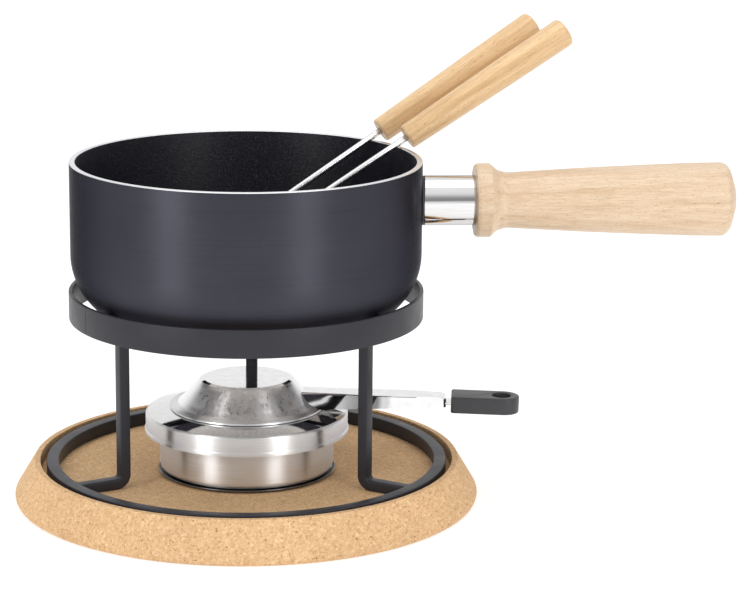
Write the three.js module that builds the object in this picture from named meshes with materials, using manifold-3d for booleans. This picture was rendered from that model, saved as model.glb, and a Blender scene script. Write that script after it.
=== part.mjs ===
// A fondue pot set: a coated pot with a beech handle, two forks, a welded flat-bar stand,
// a paste burner with its snuffer lid, and a cork base that carries them all.
// Millimetres, +Z up. The origin is the centre of the cork base's underside, on the table,
// and the pot's handle points along +X.

import * as THREE from 'three';
import { mergeVertices } from 'three/addons/utils/BufferGeometryUtils.js';
import Module from 'manifold-3d';

const wasm = await Module();
wasm.setup();

// ---------------------------------------------------------------- driving dimensions

const GAP = 0.3; // clearance between pieces that touch
const FINE = 60; // facets round a large turned piece
const MEDIUM = 48; // facets round a burner piece
const DISH = 40; // facets round the fuel dish
const WOOD = 36; // facets round the pot's grip
const SLEEVE = 32; // facets round the washer and ferrule
const SMALL = 24; // facets round a slim piece
const TINY = 16; // facets round a stem or stud

const CORK = {
  footRadius: 134.6,
  lipRadius: 122.8,
  height: 22.9,
  footRounding: 3,
  lipBevel: 0.5,
  recessRadius: 119.5,
  floor: 14.6,
};

const STAND = {
  turn: -3.4, // degrees that the stand is turned against the pot's handle
  ringRadius: 101.6,
  ringBand: 2.4,
  ringBottom: 106.6,
  ringTop: 122.5,
  footRingInner: 108.9,
  footRingOuter: 115.9,
  footRingTop: 22.7,
  barWidth: 7,
  barThickness: 6,
  barRadius: 79, // stand axis to the middle of an upright
  armBend: 8, // inside radius of the bend that carries the pot
  footBend: 2, // inside radius of the bend at the foot
  armDrop: 0.1, // how far the arms hang below the band's lower edge
};

const POT = {
  radius: 100.3,
  wall: 3.4,
  bottom: 104,
  rim: 197.2,
  floorThickness: 4.5,
  cornerRadius: 40, // large outside radius between wall and bottom
  plateRadius: 52,
  plateThickness: 1,
  rimBevel: 0.8,
};

const HANDLE = {
  height: 173, // axis above the table
  washerThickness: 0.9,
  washerInset: 0.2, // how much smaller the washer's radius is than the ferrule's
  ferruleRadius: 14.4,
  ferruleWall: 1,
  collarStart: 130.6,
  collarRadius: 21.2,
  neckRadius: 15.9,
  endRadius: 21.3,
  endRounding: 6.5,
  end: 281.2,
  bossRadius: 10.5,
  bossEnd: 114,
  blankStart: 92, // what meets the pot is cut from blanks that start inside its wall
  boreStart: 104,
  studRadius: 3,
  studEnd: 186,
  insertRadius: 6,
  insertLength: 30,
  insertStart: 150,
};

const FORK = {
  elevation: 32, // degrees above level
  stemRadius: 1.9,
  handleStart: 5.9, // along the stem from the pot's rim
  handleLength: 114,
  handleNearRadius: 7.3,
  handleFarRadius: 8.7,
  handleEndRounding: 3,
  boreDepth: 40,
  headLength: 30,
  headWidth: 11,
  headThickness: 2,
  headOverlap: 5, // how far the stem runs into the flat head
  tineLength: 20,
  tinePoint: 4,
  tineWidth: 2,
  floorClearance: 1.6, // the tine tips end just above the pot's curved floor
};

// Where each fork leans: its place round the rim, and the heading of its handle, in degrees.
const FORKS = [
  { name: 'fork_1', rimAngle: 22.5, heading: 11 },
  { name: 'fork_2', rimAngle: 38.5, heading: 14.5 },
];

const BURNER = {
  sheet: 1,
  trayRadius: 51.8,
  cupRadius: 50.4,
  cupBottom: 16.2,
  cupTop: 48.9,
  cupRounding: 4,
  insertRadius: 45,
  insertHeight: 20,
  coverRadius: 58.6,
  coverBottom: 38.7,
  coverEdge: 49.8, // height of the cover's outer edge
  coverSlope: 0.18, // rise per millimetre towards the middle
  coverBead: 0.5, // how far the bead round the skirt's foot stands out
  collarBottom: 43,
  flameRadius: 36,
  lidRadius: 44.5,
  lidFlareRadius: 40.4, // where the lid's flat seat turns up
  lidConeRadius: 37.6, // the cone's foot
  lidShoulderRadius: 28.8, // the cone's head
  lidCollarDrop: 4, // how far the lid's collar hangs below its seat
  lidTopRadius: 24.6,
  lidTop: 69.6,
};

const LID_HANDLE = {
  heading: -6.4, // degrees from the pot's handle
  droop: 1.2, // degrees that the tang and grip point down
  root: { radius: 30, top: 62.6, bottom: 53.6, topWidth: 18.4, bottomWidth: 25 },
  tip: { radius: 115.6, top: 60.9, bottom: 55.2, topWidth: 13.4, bottomWidth: 14.4 },
  blankStart: 24, // the channel is cut from a blank that starts inside the lid
  sheet: 1.2,
  tangWidth: 11,
  tangHeight: 57.2,
  tangEnd: 130,
};

const LID_GRIP = {
  start: 118.4,
  end: 157.6,
  bottom: 52.6,
  top: 62.2,
  width: 18.6,
  holeCentre: 147.3,
  holeRadius: 5.4,
};

// ---------------------------------------------------------------- materials

const looks = {
  cork: { color: 0xc79f6d, roughness: 0.95, metalness: 0 },
  standBlack: { color: 0x3c3c40, roughness: 0.5, metalness: 0.2 },
  potBlack: { color: 0x38373b, roughness: 0.45, metalness: 0.3 },
  beech: { color: 0xdcb583, roughness: 0.55, metalness: 0 },
  forkBeech: { color: 0xd9a76a, roughness: 0.5, metalness: 0 },
  steel: { color: 0xc4c4c6, roughness: 0.25, metalness: 1 },
  plate: { color: 0x9a9a9c, roughness: 0.45, metalness: 1 },
  aluminium: { color: 0xa9abad, roughness: 0.4, metalness: 1 },
  brass: { color: 0xb59a56, roughness: 0.4, metalness: 1 },
  gripBlack: { color: 0x3f3f43, roughness: 0.55, metalness: 0 },
};

const materials = Object.fromEntries(
  Object.entries(looks).map(([name, look]) => [name, new THREE.MeshStandardMaterial(look)]),
);

// ---------------------------------------------------------------- shape helpers

const rad = THREE.MathUtils.degToRad;

// Turns a closed profile of [radius, height] points about the Z axis.
function turned(points, facets) {
  const profile = points.map(([radius, height]) => new THREE.Vector2(radius, height));
  const geometry = new THREE.LatheGeometry(profile, facets);
  geometry.rotateX(Math.PI / 2);
  return geometry;
}

// Points on an arc in the radius-height plane, from one angle to another in degrees.
function arc(centreRadius, centreHeight, radius, from, to, steps) {
  return Array.from({ length: steps + 1 }, (_, i) => {
    const angle = rad(from + ((to - from) * i) / steps);
    return [centreRadius + radius * Math.cos(angle), centreHeight + radius * Math.sin(angle)];
  });
}

// Closes a ring's profile on its first point.
function closed(points) {
  return [...points, points[0]];
}

function solidOf(geometry) {
  const bare = geometry.clone();
  bare.deleteAttribute('normal');
  bare.deleteAttribute('uv');
  const merged = mergeVertices(bare, 1e-4);
  return new wasm.Manifold(
    new wasm.Mesh({
      numProp: 3,
      vertProperties: new Float32Array(merged.attributes.position.array),
      triVerts: new Uint32Array(merged.index.array),
    }),
  );
}

function geometryOf(solid) {
  const mesh = solid.getMesh();
  const geometry = new THREE.BufferGeometry();
  geometry.setAttribute('position', new THREE.BufferAttribute(mesh.vertProperties, 3));
  geometry.setIndex(new THREE.BufferAttribute(mesh.triVerts, 1));
  geometry.computeVertexNormals();
  return geometry;
}

function cut(geometry, ...tools) {
  return geometryOf(tools.reduce((solid, tool) => solid.subtract(solidOf(tool)), solidOf(geometry)));
}

function keepInside(geometry, tool) {
  return geometryOf(solidOf(geometry).intersect(solidOf(tool)));
}

function join(geometry, ...others) {
  return geometryOf(others.reduce((solid, other) => solid.add(solidOf(other)), solidOf(geometry)));
}

// A round bar along +X between two stations.
function barAlongX(radius, from, to, facets) {
  const bar = new THREE.CylinderGeometry(radius, radius, to - from, facets);
  bar.rotateZ(Math.PI / 2);
  bar.translate((from + to) / 2, 0, 0);
  return bar;
}

// A plate in the XY plane, from an outline, between two heights.
function plate(shape, bottom, top, curveSegments = 12) {
  const geometry = new THREE.ExtrudeGeometry(shape, {
    depth: top - bottom,
    bevelEnabled: false,
    curveSegments,
  });
  geometry.translate(0, 0, bottom);
  return geometry;
}

function named(name, geometry, material) {
  const mesh = new THREE.Mesh(geometry, material);
  mesh.name = name;
  return mesh;
}

// ---------------------------------------------------------------- cork base

function corkBase() {
  const { footRadius, lipRadius, height, footRounding, lipBevel, recessRadius, floor } = CORK;
  return turned(
    [
      [0, 0],
      ...arc(footRadius - footRounding, footRounding, footRounding, -90, 10, 4),
      [lipRadius, height - lipBevel],
      [lipRadius - lipBevel, height],
      [recessRadius, height],
      [recessRadius, floor],
      [0, floor],
    ],
    FINE,
  );
}

// ---------------------------------------------------------------- stand

function topRing() {
  const { ringRadius, ringBand, ringBottom, ringTop } = STAND;
  const inner = ringRadius - ringBand;
  return turned(
    closed([
      [inner, ringBottom],
      [ringRadius, ringBottom],
      [ringRadius, ringTop],
      [inner, ringTop],
    ]),
    FINE,
  );
}

function footRing() {
  const { footRingInner, footRingOuter, footRingTop } = STAND;
  const bottom = CORK.floor + GAP;
  return turned(
    closed([
      [footRingInner, bottom],
      [footRingOuter, bottom],
      [footRingOuter, footRingTop],
      [footRingInner, footRingTop],
    ]),
    FINE,
  );
}

// One flat bar bent to a C: an arm out to the top ring, an upright, and a foot out to the
// lower ring. The outline lies in the radius-height plane and is as thick as the bar is wide.
function leg() {
  const { barRadius, barThickness, barWidth, armBend, footBend, ringRadius, ringBand } = STAND;
  const inside = barRadius - barThickness / 2;
  const outside = barRadius + barThickness / 2;
  const armEnd = ringRadius - ringBand - GAP;
  const footEnd = STAND.footRingInner - GAP;
  const armBottom = STAND.ringBottom - STAND.armDrop;
  const armTop = armBottom + barThickness;
  const footBottom = CORK.floor + GAP;
  const footTop = footBottom + barThickness;
  const armCentre = { radius: outside + armBend, height: armBottom - armBend };
  const footCentre = { radius: outside + footBend, height: footTop + footBend };
  const shape = new THREE.Shape();
  const bend = (centre, radius, from, to) => {
    shape.absarc(centre.radius, centre.height, radius, rad(from), rad(to), to < from);
  };
  shape.moveTo(armEnd, armBottom);
  shape.lineTo(armEnd, armTop);
  bend(armCentre, armBend + barThickness, 90, 180);
  shape.lineTo(inside, footCentre.height);
  bend(footCentre, footBend + barThickness, 180, 270);
  shape.lineTo(footEnd, footBottom);
  shape.lineTo(footEnd, footTop);
  bend(footCentre, footBend, 270, 180);
  shape.lineTo(outside, armCentre.height);
  bend(armCentre, armBend, 180, 90);
  const geometry = new THREE.ExtrudeGeometry(shape, {
    depth: barWidth,
    bevelEnabled: false,
    curveSegments: 6,
  });
  geometry.translate(0, 0, -barWidth / 2);
  geometry.rotateX(Math.PI / 2);
  return geometry;
}

function stand() {
  const group = new THREE.Group();
  group.rotation.z = rad(STAND.turn);
  group.add(named('top_ring', topRing(), materials.standBlack));
  group.add(named('base_ring', footRing(), materials.standBlack));
  const places = { leg_back: 90, leg_left: 210, leg_right: 330 };
  for (const [name, angle] of Object.entries(places)) {
    const upright = named(name, leg(), materials.standBlack);
    upright.rotation.z = rad(angle);
    group.add(upright);
  }
  return group;
}

// ---------------------------------------------------------------- pot

const potFloor = POT.bottom + POT.floorThickness;
const cornerCentre = { radius: POT.radius - POT.cornerRadius, height: POT.bottom + POT.cornerRadius };

// A bowl with a plain upright wall, a large lower radius and a turned recess for the plate.
function potBowl() {
  const { radius, wall, bottom, rim, rimBevel, cornerRadius, plateRadius, plateThickness } = POT;
  const inner = radius - wall;
  const innerCorner = inner - cornerCentre.radius;
  const floorDrop = (cornerCentre.height - potFloor) / innerCorner;
  const floorAngle = -THREE.MathUtils.radToDeg(Math.asin(floorDrop));
  const recessRadius = plateRadius + GAP;
  const recessTop = bottom + plateThickness + GAP;
  return turned(
    [
      [0, recessTop],
      [recessRadius, recessTop],
      [recessRadius, bottom],
      ...arc(cornerCentre.radius, cornerCentre.height, cornerRadius, -90, 0, 9),
      [radius, rim - rimBevel],
      [radius - rimBevel, rim],
      [inner, rim],
      ...arc(cornerCentre.radius, cornerCentre.height, innerCorner, 0, floorAngle, 8),
      [0, potFloor],
    ],
    FINE,
  );
}

function inductionPlate() {
  const { plateRadius, plateThickness, bottom } = POT;
  return turned(
    [
      [0, bottom],
      [plateRadius, bottom],
      [plateRadius, bottom + plateThickness],
      [0, bottom + plateThickness],
    ],
    MEDIUM,
  );
}

// Layers from the bowl outwards along the handle, as distances from the pot's axis.
const washerInner = POT.radius + GAP;
const washerOuter = washerInner + HANDLE.washerThickness;
const ferruleInner = washerOuter + GAP;

// A drum about the pot's axis, used to shape what is fitted against the bowl. It is in the
// handle's own frame, whose origin is on that axis.
function drum(radius) {
  const tool = new THREE.CylinderGeometry(radius, radius, 80, FINE * 3);
  tool.rotateX(Math.PI / 2);
  return tool;
}

// Cast boss fixed to the wall, hidden by the ferrule, with a bore for the stud.
function handleBracket() {
  const { bossRadius, bossEnd, blankStart, boreStart, studRadius } = HANDLE;
  const body = barAlongX(bossRadius, blankStart, bossEnd, SMALL);
  const bore = barAlongX(studRadius + GAP, boreStart, bossEnd + 2, SMALL);
  return cut(body, drum(washerInner), bore);
}

// Thin black heat-resisting washer, curved to lie between the wall and the ferrule.
function handleWasher() {
  const { ferruleRadius, washerInset, bossRadius, blankStart, bossEnd } = HANDLE;
  const body = barAlongX(ferruleRadius - washerInset, blankStart, bossEnd, SLEEVE);
  const hole = barAlongX(bossRadius + GAP, blankStart - 2, bossEnd + 2, SMALL);
  return keepInside(cut(body, drum(washerInner), hole), drum(washerOuter));
}

// Polished sleeve whose inner end is cut to the curve of the wall.
function handleFerrule() {
  const { ferruleRadius, ferruleWall, blankStart, collarStart } = HANDLE;
  const inner = ferruleRadius - ferruleWall;
  const tube = turned(
    closed([
      [inner, blankStart],
      [ferruleRadius, blankStart],
      [ferruleRadius, collarStart - GAP],
      [inner, collarStart - GAP],
    ]),
    SLEEVE,
  );
  tube.rotateY(Math.PI / 2);
  return cut(tube, drum(ferruleInner));
}

// Turned beech: a collar, a neck, a long swell and a rounded end, bored for its insert.
function handleGrip() {
  const { collarStart, collarRadius, neckRadius, endRadius, endRounding, end } = HANDLE;
  const { insertRadius, insertStart, insertLength, studRadius, studEnd } = HANDLE;
  const profile = [
    [0, studEnd + 4],
    [studRadius + GAP, studEnd + 4],
    [studRadius + GAP, insertStart + insertLength + GAP],
    [insertRadius + GAP, insertStart + insertLength + GAP],
    [insertRadius + GAP, collarStart],
    [collarRadius - 1.6, collarStart],
    [collarRadius, collarStart + 1.8],
    [collarRadius, collarStart + 7.4],
    [collarRadius - 2.2, collarStart + 9.8],
    [neckRadius + 1, collarStart + 13.2],
    [neckRadius, collarStart + 18],
    [neckRadius + 0.9, collarStart + 34],
    [neckRadius + 2.5, collarStart + 62],
    [neckRadius + 4.1, collarStart + 98],
    [endRadius - 0.3, collarStart + 124],
    ...arc(endRadius - endRounding, end - 1.8 - endRounding, endRounding, 0, 74, 4),
    [9, end - 0.5],
    [0, end],
  ];
  const geometry = turned(profile, WOOD);
  geometry.rotateY(Math.PI / 2);
  return geometry;
}

// Threaded insert glued into the wood, which the stud screws into.
function handleInsert() {
  const { insertRadius, insertStart, insertLength, studRadius } = HANDLE;
  const tube = turned(
    closed([
      [studRadius + GAP, insertStart],
      [insertRadius, insertStart],
      [insertRadius, insertStart + insertLength],
      [studRadius + GAP, insertStart + insertLength],
    ]),
    TINY,
  );
  tube.rotateY(Math.PI / 2);
  return tube;
}

function handleStud() {
  const { studRadius, boreStart, studEnd } = HANDLE;
  return barAlongX(studRadius, boreStart + 2 * GAP, studEnd, TINY);
}

function pot() {
  const group = new THREE.Group();
  group.add(named('pot_bowl', potBowl(), materials.potBlack));
  group.add(named('induction_plate', inductionPlate(), materials.plate));
  const handle = new THREE.Group();
  handle.position.z = HANDLE.height;
  handle.add(named('handle_bracket', handleBracket(), materials.aluminium));
  handle.add(named('handle_washer', handleWasher(), materials.gripBlack));
  handle.add(named('handle_ferrule', handleFerrule(), materials.steel));
  handle.add(named('handle_stud', handleStud(), materials.steel));
  handle.add(named('handle_insert', handleInsert(), materials.brass));
  handle.add(named('handle_grip', handleGrip(), materials.beech));
  group.add(handle);
  return group;
}

// ---------------------------------------------------------------- forks

// A fork's own frame has its origin on the pot's rim and +Z up the stem to the handle.
const forkRise = Math.sin(rad(FORK.elevation));
const forkRun = Math.cos(rad(FORK.elevation));
const forkOrigin = {
  radius: POT.radius - POT.wall,
  height: POT.rim + (FORK.stemRadius + GAP) / forkRun,
};
const forkReach = (forkOrigin.height - potFloor - FORK.floorClearance) / forkRise;

function forkHandle() {
  const { handleStart, handleLength, handleNearRadius, handleFarRadius, boreDepth, stemRadius } = FORK;
  const end = handleStart + handleLength;
  const bore = stemRadius + GAP;
  const corner = FORK.handleEndRounding;
  return turned(
    [
      [0, handleStart + boreDepth],
      [bore, handleStart + boreDepth],
      [bore, handleStart],
      [handleNearRadius - 1, handleStart],
      [handleNearRadius, handleStart + 1],
      [handleFarRadius - 0.3, handleStart + 70],
      [handleFarRadius, end - 12],
      ...arc(handleFarRadius - corner, end - 0.7 - corner, corner, 0, 80, 4),
      [0, end],
    ],
    SMALL,
  );
}

// Round stem with a flat three-tined head.
function forkShaft() {
  const { stemRadius, handleStart, boreDepth } = FORK;
  const { headLength, headWidth, headThickness, headOverlap } = FORK;
  const { tineLength, tinePoint, tineWidth } = FORK;
  const stemTop = handleStart + boreDepth - GAP * 2;
  const stemBottom = headLength - headOverlap - forkReach;
  const stem = new THREE.CylinderGeometry(stemRadius, stemRadius, stemTop - stemBottom, TINY);
  stem.rotateX(Math.PI / 2);
  stem.translate(0, 0, (stemTop + stemBottom) / 2);

  const half = headWidth / 2;
  const slot = (headWidth - 3 * tineWidth) / 2;
  const root = tineLength;
  const shape = new THREE.Shape();
  shape.moveTo(-stemRadius * 0.6, headLength);
  shape.lineTo(-half, root + 2);
  for (const side of [-1, 0, 1]) {
    const middle = side * (tineWidth + slot);
    shape.lineTo(middle - tineWidth / 2, side === -1 ? root : root - 1);
    shape.lineTo(middle - tineWidth / 2, tinePoint);
    shape.lineTo(middle, 0);
    shape.lineTo(middle + tineWidth / 2, tinePoint);
    shape.lineTo(middle + tineWidth / 2, side === 1 ? root : root - 1);
  }
  shape.lineTo(half, root + 2);
  shape.lineTo(stemRadius * 0.6, headLength);
  const head = plate(shape, -headThickness / 2, headThickness / 2);
  head.rotateX(Math.PI / 2);
  head.rotateZ(Math.PI / 2);
  head.translate(0, 0, -forkReach);
  return join(stem, head);
}

function fork({ name, rimAngle, heading }) {
  const group = new THREE.Group();
  const angle = rad(rimAngle);
  group.position.set(
    forkOrigin.radius * Math.cos(angle),
    forkOrigin.radius * Math.sin(angle),
    forkOrigin.height,
  );
  group.rotation.set(0, rad(90 - FORK.elevation), rad(heading), 'ZYX');
  group.add(named(`${name}_shaft`, forkShaft(), materials.steel));
  group.add(named(`${name}_handle`, forkHandle(), materials.forkBeech));
  return group;
}

// ---------------------------------------------------------------- burner

// Height of the cover's upper face at a radius, and so of the lid's seat.
function coverTop(radius) {
  return BURNER.coverEdge + (BURNER.coverRadius - radius) * BURNER.coverSlope;
}

// Shallow steel saucer that keeps the burner's heat off the cork.
function burnerTray() {
  const { trayRadius } = BURNER;
  const under = CORK.floor + GAP;
  return turned(
    [
      [0, under],
      [trayRadius - 1.5, under],
      [trayRadius, under + 1],
      [trayRadius - 0.6, under + 1.7],
      [trayRadius - 1.7, under + 0.9],
      [0, under + 0.9],
    ],
    MEDIUM,
  );
}

function burnerCup() {
  const { cupRadius, cupBottom, cupTop, cupRounding, sheet } = BURNER;
  const centre = cupRadius - cupRounding;
  return turned(
    [
      [0, cupBottom],
      ...arc(centre, cupBottom + cupRounding, cupRounding, -90, 0, 3),
      [cupRadius, cupTop],
      [cupRadius - sheet, cupTop],
      ...arc(centre, cupBottom + cupRounding, cupRounding - sheet, 0, -90, 3),
      [0, cupBottom + sheet],
    ],
    MEDIUM,
  );
}

// Inner dish that holds the fuel paste.
function fuelInsert() {
  const { insertRadius, insertHeight, cupBottom, sheet } = BURNER;
  const bottom = cupBottom + sheet + GAP;
  const top = bottom + insertHeight;
  return turned(
    [
      [0, bottom],
      [insertRadius - 2, bottom],
      [insertRadius, bottom + 2],
      [insertRadius, top - sheet],
      [insertRadius + 2.5, top - sheet],
      [insertRadius + 2.5, top],
      [insertRadius - sheet, top],
      [insertRadius - sheet, bottom + 2.4],
      [insertRadius - 2.4, bottom + sheet],
      [0, bottom + sheet],
    ],
    DISH,
  );
}

// Cover with an outer skirt, a nearly flat top round the flame opening, and a collar that
// hangs inside the cup and centres it.
function burnerCover() {
  const { coverRadius, coverBottom, coverBead, flameRadius } = BURNER;
  const { cupRadius, collarBottom, sheet } = BURNER;
  const collar = cupRadius - sheet - GAP;
  return turned(
    closed([
      [coverRadius + coverBead, coverBottom],
      [coverRadius + coverBead, coverBottom + 1.6],
      [coverRadius, coverBottom + 2.2],
      [coverRadius, coverTop(coverRadius) - 0.6],
      [coverRadius - 0.6, coverTop(coverRadius)],
      [flameRadius, coverTop(flameRadius)],
      [flameRadius, coverTop(flameRadius) - sheet],
      [collar - sheet, coverTop(collar) - sheet],
      [collar - sheet, collarBottom],
      [collar, collarBottom],
      [collar, coverTop(collar) - sheet],
      [coverRadius - sheet, coverTop(coverRadius) - sheet],
      [coverRadius - sheet, coverBottom],
    ]),
    MEDIUM,
  );
}

// The lid's outer face from its seat up to its flat crown, as [radius, height] points.
function lidOutline() {
  const { lidRadius, lidFlareRadius, lidConeRadius, lidShoulderRadius } = BURNER;
  const { lidTopRadius, lidTop, sheet } = BURNER;
  const seat = coverTop(lidRadius) + GAP;
  return [
    [lidRadius, seat + sheet],
    [lidFlareRadius, seat + sheet + 1.2],
    [lidConeRadius, seat + sheet + 3.6],
    [lidShoulderRadius, lidTop - 2.4],
    [lidShoulderRadius - 1.4, lidTop - 1.2],
    [lidTopRadius, lidTop - 0.5],
    [0, lidTop],
  ];
}

// Snuffer lid of thin sheet, with a collar that drops into the flame opening.
function snufferLid() {
  const { lidRadius, lidConeRadius, lidShoulderRadius, lidTop } = BURNER;
  const { lidCollarDrop, flameRadius, sheet } = BURNER;
  const seat = coverTop(lidRadius) + GAP;
  const collar = flameRadius - 2 * GAP;
  return turned(
    [
      [0, lidTop - sheet],
      [lidShoulderRadius - 2.2, lidTop - 0.5 - sheet],
      [lidShoulderRadius - 0.9, lidTop - 2.9],
      [lidConeRadius - 2.4, seat + sheet + 4.4],
      [collar - sheet, seat + sheet + 2.4],
      [collar - sheet, seat - lidCollarDrop],
      [collar, seat - lidCollarDrop],
      [collar, coverTop(collar) + GAP],
      [lidRadius, seat],
      ...lidOutline(),
    ],
    MEDIUM,
  );
}

// The lid filled solid and grown by the gap, to trim what is fitted to it.
function lidTool() {
  const { lidRadius, lidTop } = BURNER;
  const below = LID_HANDLE.root.bottom - 25;
  const skin = lidOutline().slice(0, -1);
  return turned(
    [
      [0, below],
      [lidRadius + GAP, below],
      ...skin.map(([radius, height]) => [radius + GAP, height + GAP]),
      [0, lidTop + GAP],
    ],
    MEDIUM,
  );
}

// A bar along +X with a trapezium for its section, tapering evenly between its two ends.
function taperedBar(near, far) {
  const geometry = new THREE.BoxGeometry(1, 1, 1);
  const corners = geometry.attributes.position;
  for (let i = 0; i < corners.count; i++) {
    const end = corners.getX(i) < 0 ? near : far;
    const upper = corners.getZ(i) > 0;
    const half = upper ? end.topHalf : end.bottomHalf;
    corners.setXYZ(i, end.x, Math.sign(corners.getY(i)) * half, upper ? end.top : end.bottom);
  }
  return geometry;
}

// One end of the handle's channel at a station, inset by its sheet and lowered by a drop.
function channelEnd(x, inset, drop) {
  const { root, tip } = LID_HANDLE;
  const share = (x - root.radius) / (tip.radius - root.radius);
  const at = (key) => THREE.MathUtils.lerp(root[key], tip[key], share);
  const topHalf = at('topWidth') / 2;
  const bottomHalf = at('bottomWidth') / 2;
  const lean = (bottomHalf - topHalf) / (at('top') - at('bottom'));
  return {
    x,
    top: at('top') - inset,
    bottom: at('bottom') - drop,
    topHalf: topHalf - inset + lean * inset,
    bottomHalf: bottomHalf - inset + lean * drop,
  };
}

// Turns what lies beyond the channel down by the handle's slight droop.
function drooped(geometry) {
  const { tip, tangHeight, droop } = LID_HANDLE;
  geometry.translate(-tip.radius, 0, -tangHeight);
  geometry.rotateY(rad(droop));
  geometry.translate(tip.radius, 0, tangHeight);
  return geometry;
}

// Inverted channel of tapering sheet, shaped to the lid, ending in a flat tang.
function lidHandle() {
  const { tip, blankStart, sheet, tangWidth, tangHeight, tangEnd } = LID_HANDLE;
  const channel = taperedBar(channelEnd(blankStart, 0, 0), channelEnd(tip.radius, 0, 0));
  const hollow = taperedBar(
    channelEnd(blankStart - 2, sheet, 5),
    channelEnd(tip.radius - sheet, sheet, 5),
  );
  const tangStart = tip.radius - sheet / 2;
  const tang = new THREE.BoxGeometry(tangEnd - tangStart, tangWidth, sheet);
  tang.translate((tangEnd + tangStart) / 2, 0, tangHeight);
  return cut(join(cut(channel, hollow), drooped(tang)), lidTool());
}

// Moulded grip over the tang, with a rounded end and a hole to hang it by.
function lidGrip() {
  const { start, end, bottom, top, width, holeCentre, holeRadius } = LID_GRIP;
  const { tangWidth, tangHeight, tangEnd, sheet } = LID_HANDLE;
  const half = width / 2;
  const shape = new THREE.Shape();
  shape.moveTo(start, -half + 1);
  shape.lineTo(start + 1, -half);
  shape.lineTo(end - half, -half);
  shape.absarc(end - half, 0, half, -Math.PI / 2, Math.PI / 2, false);
  shape.lineTo(start + 1, half);
  shape.lineTo(start, half - 1);
  const hole = new THREE.Path();
  hole.absarc(holeCentre, 0, holeRadius, 0, Math.PI * 2, true);
  shape.holes.push(hole);
  const body = plate(shape, bottom, top, 10);
  const socket = new THREE.BoxGeometry(tangEnd - start + 2, tangWidth + 2 * GAP, sheet + 2 * GAP);
  socket.translate((tangEnd + start) / 2 + GAP - 1, 0, tangHeight);
  return drooped(cut(body, socket));
}

function burner() {
  const group = new THREE.Group();
  group.add(named('burner_tray', burnerTray(), materials.steel));
  group.add(named('burner_cup', burnerCup(), materials.steel));
  group.add(named('fuel_insert', fuelInsert(), materials.aluminium));
  group.add(named('burner_cover', burnerCover(), materials.steel));
  const lid = new THREE.Group();
  lid.rotation.z = rad(LID_HANDLE.heading);
  lid.add(named('snuffer_lid', snufferLid(), materials.steel));
  lid.add(named('lid_handle', lidHandle(), materials.steel));
  lid.add(named('lid_grip', lidGrip(), materials.gripBlack));
  group.add(lid);
  return group;
}

// ---------------------------------------------------------------- the set

const fonduePotSet = new THREE.Group();
fonduePotSet.add(named('cork_base', corkBase(), materials.cork));
fonduePotSet.add(stand());
fonduePotSet.add(pot());
fonduePotSet.add(burner());
for (const place of FORKS) {
  fonduePotSet.add(fork(place));
}

export default fonduePotSet;
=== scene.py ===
import functools
import math
import random

import bmesh
import bpy
from mathutils import Matrix, Vector


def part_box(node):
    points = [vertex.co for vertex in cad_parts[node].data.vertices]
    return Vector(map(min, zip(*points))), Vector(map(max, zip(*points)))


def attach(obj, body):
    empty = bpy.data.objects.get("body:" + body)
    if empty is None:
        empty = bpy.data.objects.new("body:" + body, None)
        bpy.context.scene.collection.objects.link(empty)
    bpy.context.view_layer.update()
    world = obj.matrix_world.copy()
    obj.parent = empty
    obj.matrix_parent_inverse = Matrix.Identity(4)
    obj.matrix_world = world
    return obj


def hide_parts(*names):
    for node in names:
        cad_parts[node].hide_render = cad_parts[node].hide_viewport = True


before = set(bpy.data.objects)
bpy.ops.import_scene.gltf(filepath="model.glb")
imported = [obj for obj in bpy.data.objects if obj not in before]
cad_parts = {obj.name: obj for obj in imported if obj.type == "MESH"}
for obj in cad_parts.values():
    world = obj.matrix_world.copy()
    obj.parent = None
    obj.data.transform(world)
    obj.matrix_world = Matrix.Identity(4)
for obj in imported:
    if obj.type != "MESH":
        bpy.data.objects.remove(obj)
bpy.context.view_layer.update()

MM = 0.001
ROUND = 192  # segments round a large turned piece
SLIM = 64  # segments round a slim turned piece
SEED = 7


# ---------------------------------------------------------------- reading the frame


@functools.cache
def radii(node, axis_height=None):
    """Least and greatest distance of a node's vertices from the Z axis, or from the handle's
    axis when its height is given."""
    points = [v.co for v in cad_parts[node].data.vertices]
    if axis_height is None:
        spans = [math.hypot(p.x, p.y) for p in points]
    else:
        spans = [math.hypot(p.y, p.z - axis_height) for p in points]
    return min(spans), max(spans)


@functools.cache
def heights(node):
    low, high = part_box(node)
    return low.z, high.z


# ---------------------------------------------------------------- mesh helpers


def filleted(points, steps=5):
    """A profile with its corners rounded: each point is (x, y) or (x, y, corner radius)."""
    made = []
    last = len(points) - 1
    for i, point in enumerate(points):
        here = Vector(point[:2])
        radius = point[2] if len(point) > 2 else 0
        if radius == 0 or i in (0, last):
            made.append(here)
            continue
        before = (Vector(points[i - 1][:2]) - here).normalized()
        after = (Vector(points[i + 1][:2]) - here).normalized()
        half = before.angle(after) / 2
        if half > math.radians(89.5):
            made.append(here)
            continue
        start = here + before * radius / math.tan(half)
        centre = here + (before + after).normalized() * radius / math.sin(half)
        first = start - centre
        turn = math.pi - 2 * half
        sign = 1 if before.x * after.y - before.y * after.x < 0 else -1
        for step in range(steps + 1):
            angle = sign * turn * step / steps
            c, s = math.cos(angle), math.sin(angle)
            made.append(centre + Vector((first.x * c - first.y * s, first.x * s + first.y * c)))
    return made


def finished(name, bm, sharp_degrees=38):
    bmesh.ops.remove_doubles(bm, verts=bm.verts, dist=1e-7)
    bmesh.ops.recalc_face_normals(bm, faces=bm.faces)
    mesh = bpy.data.meshes.new(name)
    bm.to_mesh(mesh)
    bm.free()
    for face in mesh.polygons:
        face.use_smooth = True
    mesh.set_sharp_from_angle(angle=math.radians(sharp_degrees))
    piece = bpy.data.objects.new(name, mesh)
    bpy.context.scene.collection.objects.link(piece)
    return piece


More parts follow.
